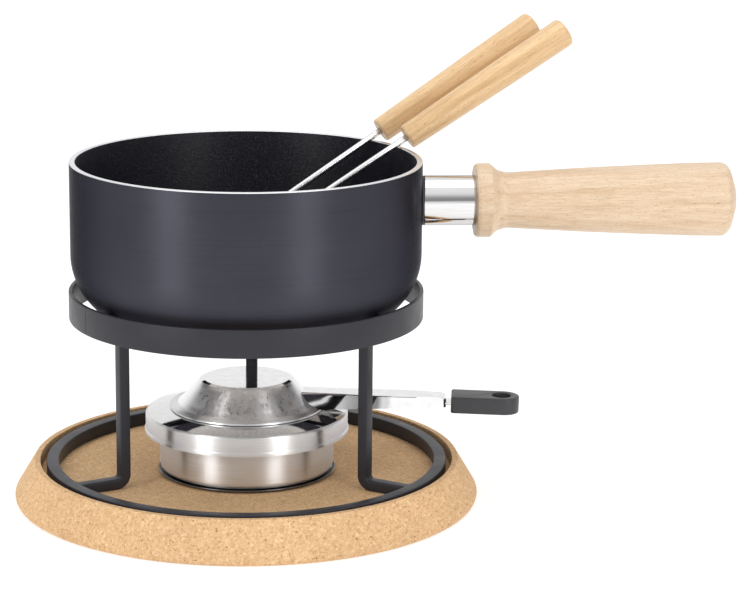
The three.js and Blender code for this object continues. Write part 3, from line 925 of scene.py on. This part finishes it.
LID_COLLAR_DROP = 4 * MM  # how far the lid's collar hangs below its seat
CONE_FOOT = 37.5 * MM
CONE_HEAD = 28.8 * MM
CONE_FOOT_RISE = 4.7 * MM  # above the lid's seat
CONE_HEAD_DROP = 2.3 * MM  # below the lid's top
CROWN_RADIUS = 24.9 * MM
CROWN_DROP = 0.25 * MM
COLLAR_GAP = 0.6 * MM


def snuffer_lid():
    """Thin pressed lid: flared seat, hollow cone and a flat bright crown."""
    low, high = heights("snuffer_lid")
    _, outer = radii("snuffer_lid")
    seat = low + LID_COLLAR_DROP
    collar = FLAME_RADIUS - COLLAR_GAP
    crown = high - CROWN_DROP
    profile = filleted(
        [
            (0, crown - SHEET),
            (26.2 * MM, crown - 0.5 * MM - SHEET, 1.2 * MM),
            (27.9 * MM, crown - 2.9 * MM, 1.5 * MM),
            (35.0 * MM, seat + 5.0 * MM, 3 * MM),
            (collar - SHEET, seat + 3.2 * MM),
            (collar - SHEET, low),
            (collar, low),
            (collar, seat + (outer - collar) * COVER_SLOPE),
            (outer, seat),
            (outer, seat + SHEET, 0.4 * MM),
            (40.4 * MM, seat + SHEET + 1.2 * MM, 4 * MM),
            (CONE_FOOT, seat + CONE_FOOT_RISE, 3 * MM),
            (CONE_HEAD, crown - 2.1 * MM, 1.2 * MM),
            (27.2 * MM, crown - 0.7 * MM, 1.6 * MM),
            (CROWN_RADIUS, crown, 0.8 * MM),
            (0, crown),
        ],
        steps=8,
    )

    def slots(radius, height):
        if height > crown - 0.5 * MM:
            return 1
        return 2 if radius < 39 * MM and height > seat + 3 * MM else 0

    piece = turned("lid_shell", profile, slots=slots)
    placed(piece, "lid", "burner_steel", ("sheet", "mirror", "cone"), "snuffer_lid")


LID_HEADING = math.radians(-6.4)
HANDLE_SHEET = 1.2 * MM
HANDLE_ROOT = {"x": 30 * MM, "top": 62.6 * MM, "bottom": 53.6 * MM, "half": 12.6 * MM}
HANDLE_TIP = {"x": 115.6 * MM, "top": 60.9 * MM, "bottom": 55.2 * MM, "half": 7.2 * MM}
ROOT_LEAN = math.tan(math.radians(28))  # the sides lean in most at the root
TIP_LEAN = math.tan(math.radians(4))
LEAN_FROM, LEAN_TO = 0.2, 0.68  # the part of its length over which the lean falls
ROOT_STATION = 36 * MM  # where the sides' heights are read to find where they meet the lid
ROOT_SUNK = 0.4 * MM  # how far the handle's root goes into the lid
NOSE = 4.5 * MM  # length of the rounded tip
NOSE_DROP = 1.8 * MM
NOSE_NARROWING = 2.6 * MM
TANG_HEIGHT = 57.2 * MM
TANG_HALF = 5.5 * MM
TANG_OVERLAP = 1 * MM
TANG_END = 130 * MM
DROOP = math.radians(1.2)


def channel_point(x, side, down, inset):
    """A point of the handle's bent sheet: down runs from 0 at the top to 1 at the lower edge,
    and side from -1 to 1."""
    share = (x - HANDLE_ROOT["x"]) / (HANDLE_TIP["x"] - HANDLE_ROOT["x"])
    at = {key: HANDLE_ROOT[key] + (HANDLE_TIP[key] - HANDLE_ROOT[key]) * share for key in HANDLE_ROOT}
    fallen = min(1, max(0, (share - LEAN_FROM) / (LEAN_TO - LEAN_FROM)))
    lean = ROOT_LEAN + (TIP_LEAN - ROOT_LEAN) * fallen
    past = max(0, (x - HANDLE_TIP["x"] + NOSE) / NOSE)
    shrink = 1 - math.sqrt(max(0, 1 - past**2))
    top = at["top"] - inset - NOSE_DROP * shrink
    drop = (at["bottom"] - top) * down
    leaned = (at["top"] - at["bottom"]) * lean * (1 - down)
    half = at["half"] - leaned - inset - NOSE_NARROWING * shrink
    return Vector((x, side * half, top + drop))


def lid_reach(height, across):
    """Where the lid's outside is, along the handle, at a height and distance across."""
    low, high = heights("snuffer_lid")
    _, outer = radii("snuffer_lid")
    seat = low + LID_COLLAR_DROP
    foot, head = seat + CONE_FOOT_RISE, high - CONE_HEAD_DROP
    if height > foot:
        radius = CONE_FOOT + (CONE_HEAD - CONE_FOOT) * (height - foot) / (head - foot)
    else:
        below = min(1, (foot - height) / (foot - seat - SHEET))
        radius = CONE_FOOT + (outer + ROOT_SUNK - CONE_FOOT) * below
    return math.sqrt(max(radius**2 - across**2, 0))


def lid_handle():
    """Tapered channel of bent sheet with leaning sides, and a tang into the grip."""
    downs = (1, 0.85, 0.7, 0.55, 0.4, 0.25, 0.12, 0.04)
    strip = [(-1, down) for down in downs] + [(-0.97, 0.01), (-0.9, 0), (-0.45, 0), (0, 0)]
    strip += [(-side, down) for side, down in reversed(strip[:-1])]
    count = 30
    bm = bmesh.new()
    shells = []
    for inset in (0, HANDLE_SHEET):
        roots = [channel_point(ROOT_STATION, side, down, inset) for side, down in strip]
        starts = [lid_reach(root.z, root.y) - ROOT_SUNK for root in roots]
        rows = []
        for i in range(count + 1):
            share = math.sin(math.pi / 2 * i / count)
            row = []
            for (side, down), start in zip(strip, starts):
                x = start + (HANDLE_TIP["x"] - inset - start) * share
                row.append(bm.verts.new(channel_point(x, side, down, inset)))
            rows.append(row)
        shells.append(rows)
    outer, inner = shells
    last = len(strip) - 1
    for rows in shells:
        for a, b in zip(rows, rows[1:]):
            for i in range(last):
                bm.faces.new((a[i], a[i + 1], b[i + 1], b[i]))
        bm.faces.new(rows[-1])
    for i in range(last):
        bm.faces.new((outer[0][i], outer[0][i + 1], inner[0][i + 1], inner[0][i]))
    for side in (0, last):
        for k in range(count):
            bm.faces.new((outer[k][side], outer[k + 1][side], inner[k + 1][side], inner[k][side]))
    bm.faces.new((outer[-1][0], outer[-1][last], inner[-1][last], inner[-1][0]))
    channel = finished("lid_channel", bm, 30)
    tang_bm = bmesh.new()
    near = HANDLE_TIP["x"] - TANG_OVERLAP
    outline = [(near, -TANG_HALF), (TANG_END, -TANG_HALF), (TANG_END, TANG_HALF), (near, TANG_HALF)]
    extruded(tang_bm, outline, TANG_HEIGHT - HANDLE_SHEET / 2, TANG_HEIGHT + HANDLE_SHEET / 2)
    tang_bm.transform(drooped())
    tang = softened(finished("lid_tang", tang_bm), 0.3 * MM)
    for piece in (channel, tang):
        piece.data.transform(Matrix.Rotation(LID_HEADING, 4, "Z"))
        placed(piece, "lid", "burner_steel", "mirror", "lid_handle")


def drooped():
    """Turns what lies beyond the channel's tip slightly down."""
    pivot = Vector((HANDLE_TIP["x"], 0, TANG_HEIGHT))
    return Matrix.Translation(pivot) @ Matrix.Rotation(DROOP, 4, "Y") @ Matrix.Translation(-pivot)


def lid_grip():
    low, high = 52.6 * MM, 62.2 * MM
    start, end, half = 118.4 * MM, 157.6 * MM, 9.3 * MM
    hole_centre, hole_radius = 147.3 * MM, 5.4 * MM
    outline = [(start, -half + 1 * MM), (start + 1 * MM, -half)]
    for step in range(25):
        angle = math.radians(-90 + 180 * step / 24)
        outline.append((end - half + half * math.cos(angle), half * math.sin(angle)))
    outline += [(start + 1 * MM, half), (start, half - 1 * MM)]
    bm = bmesh.new()
    extruded(bm, outline, low, high)
    body = finished("grip_body", bm)
    cutter_bm = bmesh.new()
    bmesh.ops.create_cone(
        cutter_bm, cap_ends=True, segments=48, radius1=hole_radius, radius2=hole_radius, depth=40 * MM
    )
    bmesh.ops.translate(cutter_bm, verts=cutter_bm.verts, vec=(hole_centre, 0, (low + high) / 2))
    cutter = finished("grip_cutter", cutter_bm)
    cut = body.modifiers.new("hole", "BOOLEAN")
    cut.operation = "DIFFERENCE"
    cut.object = cutter
    graph = bpy.context.evaluated_depsgraph_get()
    body.data = bpy.data.meshes.new_from_object(body.evaluated_get(graph))
    body.modifiers.clear()
    bpy.data.objects.remove(cutter)
    softened(body, 1.3 * MM, 4, 40)
    body.data.transform(Matrix.Rotation(LID_HEADING, 4, "Z") @ drooped())
    body.name = "lid_grip_moulding"
    placed(body, "lid", "black_plastic", "plastic", "lid_grip")


# ---------------------------------------------------------------- hidden CAD pieces


def inner_pieces():
    for node, look in (
        ("handle_bracket", "aluminium"),
        ("handle_washer", "plastic"),
        ("handle_stud", "plate"),
        ("handle_insert", "brass"),
    ):
        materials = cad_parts[node].data.materials
        materials.clear()
        materials.append(looks[look])


# ---------------------------------------------------------------- camera, floor and light

CAMERA_PLACE = Vector((-29.9, -1450.1, 460.96)) * MM
CAMERA_YAW = math.radians(3.949)
CAMERA_PITCH = math.radians(13.282)
CAMERA_ROLL = math.radians(0.517)
CAMERA_LENS = 126.55


def camera():
    yaw, pitch, roll = CAMERA_YAW, CAMERA_PITCH, CAMERA_ROLL
    ahead = Vector(
        (math.sin(yaw) * math.cos(pitch), math.cos(yaw) * math.cos(pitch), -math.sin(pitch))
    )
    level = Vector((math.cos(yaw), -math.sin(yaw), 0))
    up = level.cross(ahead)
    right = level * math.cos(roll) + up * math.sin(roll)
    top = up * math.cos(roll) - level * math.sin(roll)
    data = bpy.data.cameras.new("camera")
    data.lens = CAMERA_LENS
    data.sensor_width = 36
    data.clip_end = 50
    made = bpy.data.objects.new("camera", data)
    turn = Matrix((right, top, -ahead)).transposed()
    made.matrix_world = Matrix.Translation(CAMERA_PLACE) @ turn.to_4x4()
    bpy.context.scene.collection.objects.link(made)
    bpy.context.scene.camera = made


FLOOR_GLOW = 0.5  # the floor is lit from below, as on a light table
FLOOR_HALF = 20


def floor():
    bm = bmesh.new()
    bmesh.ops.create_grid(bm, x_segments=1, y_segments=1, size=FLOOR_HALF)
    made = finished("floor", bm)
    n = Nodes("floor_white", roughness=0.85)
    n.set("Emission Color", (1, 1, 1, 1))
    n.set("Emission Strength", FLOOR_GLOW)
    tone = n.ramp(n.noise(n.object, 3), [(0.3, (0.61, 0.61, 0.61)), (0.7, (0.63, 0.63, 0.63))])
    made.data.materials.append(n.finish(tone))


def softbox(name, place, target, size, power):
    data = bpy.data.lights.new(name, "AREA")
    data.shape = "RECTANGLE"
    data.size, data.size_y = size
    data.energy = power
    made = bpy.data.objects.new(name, data)
    made.location = place
    made.rotation_euler = (Vector(target) - Vector(place)).to_track_quat("-Z", "Y").to_euler()
    bpy.context.scene.collection.objects.link(made)


# Brightness of the studio in front of the set, by the sine of the elevation: a low white
# wall, a dim room and a bright ceiling.
FRONT_SKY = [(0.0, 0.9), (0.07, 0.9), (0.13, 0.32), (0.30, 0.3), (0.45, 0.5), (0.58, 0.8), (0.72, 1.0)]
BACK_FROM, BACK_TO = 0.5, 0.85  # it turns white between these, from the sides to the back


def studio():
    """White behind; a dimmer room in front and at both sides."""
    world = bpy.data.worlds.new("studio")
    world.use_nodes = True
    tree = world.node_tree
    background = tree.nodes["Background"]
    direction = tree.nodes.new("ShaderNodeTexCoord").outputs["Generated"]
    parts = tree.nodes.new("ShaderNodeSeparateXYZ")
    tree.links.new(direction, parts.inputs["Vector"])
    ramp = tree.nodes.new("ShaderNodeValToRGB")
    fill_ramp(ramp.color_ramp.elements, [(place, (level,) * 3) for place, level in FRONT_SKY])
    tree.links.new(parts.outputs["Z"], ramp.inputs["Fac"])
    side = tree.nodes.new("ShaderNodeMapRange")
    side.inputs["From Min"].default_value = BACK_FROM
    side.inputs["From Max"].default_value = BACK_TO
    tree.links.new(parts.outputs["Y"], side.inputs["Value"])
    mix = tree.nodes.new("ShaderNodeMix")
    mix.data_type = "RGBA"
    tree.links.new(side.outputs["Result"], mix.inputs[0])
    tree.links.new(ramp.outputs["Color"], mix.inputs[6])
    mix.inputs[7].default_value = (1, 1, 1, 1)
    tree.links.new(mix.outputs[2], background.inputs["Color"])
    background.inputs["Strength"].default_value = 1.0
    bpy.context.scene.world = world


BOX_DISTANCE = 1.7
BOX_RAISE = 0.5
BOX_SIZE = (0.55, 1.5)


def lights():
    bpy.context.scene.view_settings.view_transform = "Standard"
    studio()
    middle = Vector((0.0, 0, 0.13))
    softbox("top_box", (0, 0.1, 1.7), middle, (1.6, 1.2), 6.5)
    for name, degrees, power in (("left_box", -49.2, 10), ("right_box", 36.2, 9)):
        angle = math.radians(degrees)
        across, back = math.sin(angle) * BOX_DISTANCE, -math.cos(angle) * BOX_DISTANCE
        place = middle + Vector((across, back, BOX_RAISE))
        softbox(name, place, middle, BOX_SIZE, power)


camera()
cork_base()
stand()
pot_bowl()
induction_plate()
pot_handle()
for fork_place in FORKS:
    fork(*fork_place)
burner_cup()
burner_tray()
burner_cover()
fuel_insert()
snuffer_lid()
lid_handle()
lid_grip()
inner_pieces()
floor()
lights()
